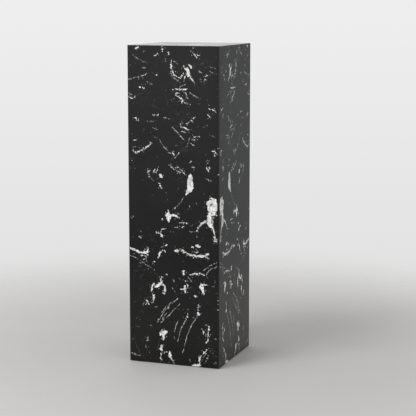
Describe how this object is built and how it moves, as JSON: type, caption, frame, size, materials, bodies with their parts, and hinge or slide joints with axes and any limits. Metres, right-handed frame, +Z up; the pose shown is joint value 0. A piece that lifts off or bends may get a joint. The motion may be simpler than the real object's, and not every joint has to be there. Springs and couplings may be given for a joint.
{
  "type": "display plinth",
  "caption": "Tall square display plinth clad in thin polished black marble slabs with white flecks and veins, on hidden levelling feet.",
  "frame": {"origin": "centre of the base, on the floor", "axes": "+Z up, front face looks along -Y, right face along +X"},
  "size_m": [0.3, 0.3, 1],
  "materials": {
    "stone": "polished",
    "plywood": "raw",
    "softwood": "raw",
    "zinc_steel": "zinc plated",
    "nylon": "moulded"
  },
  "bodies": {
    "plinth": {"front_slab": "stone", "right_slab": "stone", "back_slab": "stone", "left_slab": "stone", "top_slab": "stone", "core_front": "plywood", "core_right": "plywood", "core_back": "plywood", "core_left": "plywood", "core_top": "plywood", "base_board": "plywood", "post_front_left": "softwood", "post_front_right": "softwood", "post_back_right": "softwood", "post_back_left": "softwood", "base_cleat_front": "softwood", "base_cleat_right": "softwood", "base_cleat_back": "softwood", "base_cleat_left": "softwood", "top_cleat_front": "softwood", "top_cleat_right": "softwood", "top_cleat_back": "softwood", "top_cleat_left": "softwood", "top_screw_front_left": "zinc_steel", "top_screw_front_right": "zinc_steel", "top_screw_back_right": "zinc_steel", "top_screw_back_left": "zinc_steel", "base_screw_front_1": "zinc_steel", "base_screw_front_2": "zinc_steel", "base_screw_right_1": "zinc_steel", "base_screw_right_2": "zinc_steel", "base_screw_back_1": "zinc_steel", "base_screw_back_2": "zinc_steel", "base_screw_left_1": "zinc_steel", "base_screw_left_2": "zinc_steel", "lock_nut_front_left": "zinc_steel", "lock_nut_front_right": "zinc_steel", "lock_nut_back_right": "zinc_steel", "lock_nut_back_left": "zinc_steel", "tee_nut_front_left": "zinc_steel", "tee_nut_front_right": "zinc_steel", "tee_nut_back_right": "zinc_steel", "tee_nut_back_left": "zinc_steel"},
    "pad_front_left": {"foot_pad_front_left": "nylon"},
    "stud_front_left": {"foot_stud_front_left": "zinc_steel"},
    "pad_front_right": {"foot_pad_front_right": "nylon"},
    "stud_front_right": {"foot_stud_front_right": "zinc_steel"},
    "pad_back_right": {"foot_pad_back_right": "nylon"},
    "stud_back_right": {"foot_stud_back_right": "zinc_steel"},
    "pad_back_left": {"foot_pad_back_left": "nylon"},
    "stud_back_left": {"foot_stud_back_left": "zinc_steel"}
  },
  "joints": [
    {"name": "level_front_left", "type": "slide", "parent": "plinth", "child": "pad_front_left", "axis": [0, 0, -1], "range_m": [0, 0.01]},
    {"name": "turn_front_left", "type": "hinge", "parent": "pad_front_left", "child": "stud_front_left", "pos_m": [-0.1, -0.1, 0.03], "axis": [0, 0, -1], "range_deg": [0, 2970]},
    {"name": "level_front_right", "type": "slide", "parent": "plinth", "child": "pad_front_right", "axis": [0, 0, -1], "range_m": [0, 0.01]},
    {"name": "turn_front_right", "type": "hinge", "parent": "pad_front_right", "child": "stud_front_right", "pos_m": [0.1, -0.1, 0.03], "axis": [0, 0, -1], "range_deg": [0, 2970]},
    {"name": "level_back_right", "type": "slide", "parent": "plinth", "child": "pad_back_right", "axis": [0, 0, -1], "range_m": [0, 0.01]},
    {"name": "turn_back_right", "type": "hinge", "parent": "pad_back_right", "child": "stud_back_right", "pos_m": [0.1, 0.1, 0.03], "axis": [0, 0, -1], "range_deg": [0, 2970]},
    {"name": "level_back_left", "type": "slide", "parent": "plinth", "child": "pad_back_left", "axis": [0, 0, -1], "range_m": [0, 0.01]},
    {"name": "turn_back_left", "type": "hinge", "parent": "pad_back_left", "child": "stud_back_left", "pos_m": [-0.1, 0.1, 0.03], "axis": [0, 0, -1], "range_deg": [0, 2970]}
  ],
  "couplings": [
    {"joint": "turn_front_left", "follows": "level_front_left", "rad_per_m": 5026.5},
    {"joint": "turn_front_right", "follows": "level_front_right", "rad_per_m": 5026.5},
    {"joint": "turn_back_right", "follows": "level_back_right", "rad_per_m": 5026.5},
    {"joint": "turn_back_left", "follows": "level_back_left", "rad_per_m": 5026.5}
  ]
}
